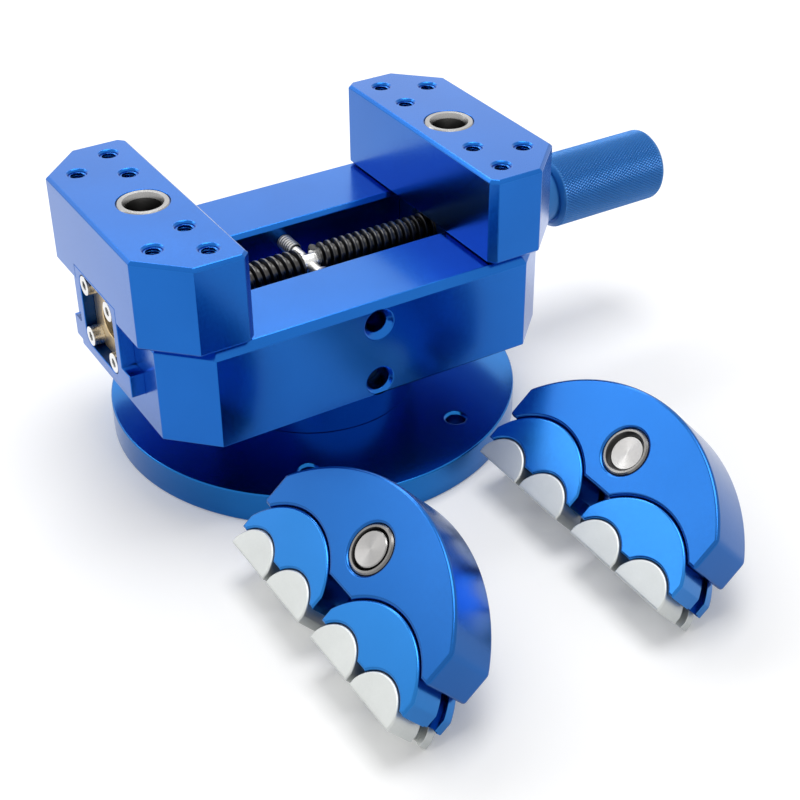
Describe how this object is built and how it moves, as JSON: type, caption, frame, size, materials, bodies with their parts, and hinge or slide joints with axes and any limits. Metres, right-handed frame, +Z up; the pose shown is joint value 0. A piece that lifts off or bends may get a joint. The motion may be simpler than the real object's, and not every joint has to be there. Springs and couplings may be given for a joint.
{
  "type": "self-centering vise",
  "caption": "Self-centering vise on a swivelling round base, with jaws driven together by a lead screw, and loose fractal jaws of rocking half discs that pin into them.",
  "frame": {"origin": "centre of the base disc's underside, on the bench", "axes": "+Z up, +X along the lead screw towards its handle, +Y away from the loose jaws"},
  "size_m": [0.233, 0.2492, 0.1004],
  "materials": {
    "blue_anodised": "glossy blue anodised",
    "blue_turned": "turned, blue anodised",
    "blue_satin": "satin blue anodised",
    "silver_tips": "matt silver",
    "bush_steel": "ground",
    "pin_steel": "turned",
    "bright_screws": "bright",
    "black_screw": "black oxide",
    "brass": "turned"
  },
  "bodies": {
    "base": {"base_plate": "blue_turned", "pivot_post": "blue_turned", "post_screws": "bright_screws"},
    "bed": {"bed": "blue_anodised", "front_stop_screw": "bright_screws", "back_stop_screw": "bright_screws"},
    "swivel_lock_screw": {"swivel_lock_screw": "black_screw"},
    "lead_screw": {"lead_screw": "black_screw", "handle": "blue_anodised", "handle_grub_screw": "black_screw"},
    "left_jaw": {"left_jaw": "blue_anodised", "left_carriage": "blue_anodised", "left_nut": "brass", "left_nut_screws": "bright_screws", "left_bush": "bush_steel", "left_carriage_screws": "bright_screws"},
    "right_jaw": {"right_jaw": "blue_anodised", "right_carriage": "blue_anodised", "right_nut": "brass", "right_nut_screws": "bright_screws", "right_bush": "bush_steel", "right_carriage_screws": "bright_screws"},
    "front_jaw": {"front_body": "blue_satin", "front_bush": "bush_steel"},
    "front_pin": {"front_pin": "pin_steel"},
    "front_rocker_near": {"front_rocker_near": "blue_satin"},
    "front_tip_near_outer": {"front_tip_near_outer": "silver_tips"},
    "front_tip_near_inner": {"front_tip_near_inner": "silver_tips"},
    "front_rocker_far": {"front_rocker_far": "blue_satin"},
    "front_tip_far_outer": {"front_tip_far_outer": "silver_tips"},
    "front_tip_far_inner": {"front_tip_far_inner": "silver_tips"},
    "side_jaw": {"side_body": "blue_satin", "side_bush": "bush_steel"},
    "side_pin": {"side_pin": "pin_steel"},
    "side_rocker_near": {"side_rocker_near": "blue_satin"},
    "side_tip_near_outer": {"side_tip_near_outer": "silver_tips"},
    "side_tip_near_inner": {"side_tip_near_inner": "silver_tips"},
    "side_rocker_far": {"side_rocker_far": "blue_satin"},
    "side_tip_far_outer": {"side_tip_far_outer": "silver_tips"},
    "side_tip_far_inner": {"side_tip_far_inner": "silver_tips"}
  },
  "joints": [
    {"name": "swivel", "type": "hinge", "parent": "base", "child": "bed", "pos_m": [0, 0, 0.032], "axis": [0, 0, 1], "range_deg": [-40, 210]},
    {"name": "lock_screw_travel", "type": "slide", "parent": "bed", "child": "swivel_lock_screw", "axis": [0, 1, 0], "range_m": [-0.0012, 0.0009]},
    {"name": "screw_turn", "type": "hinge", "parent": "bed", "child": "lead_screw", "pos_m": [0, 0, 0.06], "axis": [1, 0, 0], "range_deg": [-5340, 1212]},
    {"name": "left_jaw_travel", "type": "slide", "parent": "bed", "child": "left_jaw", "axis": [-1, 0, 0], "range_m": [-0.0444, 0.01]},
    {"name": "right_jaw_travel", "type": "slide", "parent": "bed", "child": "right_jaw", "axis": [1, 0, 0], "range_m": [-0.0445, 0.0101]},
    {"name": "front_jaw_lift", "type": "slide", "parent": "base", "child": "front_jaw", "axis": [0, 0, 1], "range_m": [0, 0.015]},
    {"name": "front_pin_spin", "type": "hinge", "parent": "front_jaw", "child": "front_pin", "pos_m": [-0.04751, -0.124, 0.0358], "axis": [-0.6592, 0, 0.752], "continuous": true},
    {"name": "front_rocker_near_tilt", "type": "hinge", "parent": "front_jaw", "child": "front_rocker_near", "pos_m": [-0.0721, -0.15, 0.01425], "axis": [-0.6592, 0, 0.752], "range_deg": [-15, 15]},
    {"name": "front_tip_near_outer_tilt", "type": "hinge", "parent": "front_rocker_near", "child": "front_tip_near_outer", "pos_m": [-0.07165, -0.1616, 0.01464], "axis": [-0.6592, 0, 0.752], "range_deg": [-25, 25]},
    {"name": "front_tip_near_inner_tilt", "type": "hinge", "parent": "front_rocker_near", "child": "front_tip_near_inner", "pos_m": [-0.07165, -0.1384, 0.01464], "axis": [-0.6592, 0, 0.752], "range_deg": [-25, 25]},
    {"name": "front_rocker_far_tilt", "type": "hinge", "parent": "front_jaw", "child": "front_rocker_far", "pos_m": [-0.0721, -0.098, 0.01425], "axis": [-0.6592, 0, 0.752], "range_deg": [-15, 15]},
    {"name": "front_tip_far_outer_tilt", "type": "hinge", "parent": "front_rocker_far", "child": "front_tip_far_outer", "pos_m": [-0.07165, -0.0864, 0.01464], "axis": [-0.6592, 0, 0.752], "range_deg": [-25, 25]},
    {"name": "front_tip_far_inner_tilt", "type": "hinge", "parent": "front_rocker_far", "child": "front_tip_far_inner", "pos_m": [-0.07165, -0.1096, 0.01464], "axis": [-0.6592, 0, 0.752], "range_deg": [-25, 25]},
    {"name": "side_jaw_lift", "type": "slide", "parent": "base", "child": "side_jaw", "axis": [0, 0, 1], "range_m": [0, 0.015]},
    {"name": "side_pin_spin", "type": "hinge", "parent": "side_jaw", "child": "side_pin", "pos_m": [0.04719, -0.125, 0.0358], "axis": [-0.6592, 0, 0.752], "continuous": true},
    {"name": "side_rocker_near_tilt", "type": "hinge", "parent": "side_jaw", "child": "side_rocker_near", "pos_m": [0.0226, -0.151, 0.01425], "axis": [-0.6592, 0, 0.752], "range_deg": [-15, 15]},
    {"name": "side_tip_near_outer_tilt", "type": "hinge", "parent": "side_rocker_near", "child": "side_tip_near_outer", "pos_m": [0.02305, -0.1626, 0.01464], "axis": [-0.6592, 0, 0.752], "range_deg": [-25, 25]},
    {"name": "side_tip_near_inner_tilt", "type": "hinge", "parent": "side_rocker_near", "child": "side_tip_near_inner", "pos_m": [0.02305, -0.1394, 0.01464], "axis": [-0.6592, 0, 0.752], "range_deg": [-25, 25]},
    {"name": "side_rocker_far_tilt", "type": "hinge", "parent": "side_jaw", "child": "side_rocker_far", "pos_m": [0.0226, -0.099, 0.01425], "axis": [-0.6592, 0, 0.752], "range_deg": [-15, 15]},
    {"name": "side_tip_far_outer_tilt", "type": "hinge", "parent": "side_rocker_far", "child": "side_tip_far_outer", "pos_m": [0.02305, -0.0874, 0.01464], "axis": [-0.6592, 0, 0.752], "range_deg": [-25, 25]},
    {"name": "side_tip_far_inner_tilt", "type": "hinge", "parent": "side_rocker_far", "child": "side_tip_far_inner", "pos_m": [0.02305, -0.1106, 0.01464], "axis": [-0.6592, 0, 0.752], "range_deg": [-25, 25]}
  ],
  "couplings": [
    {"joint": "screw_turn", "follows": "left_jaw_travel", "rad_per_m": 2094.4},
    {"joint": "right_jaw_travel", "follows": "left_jaw_travel", "ratio": 1}
  ]
}
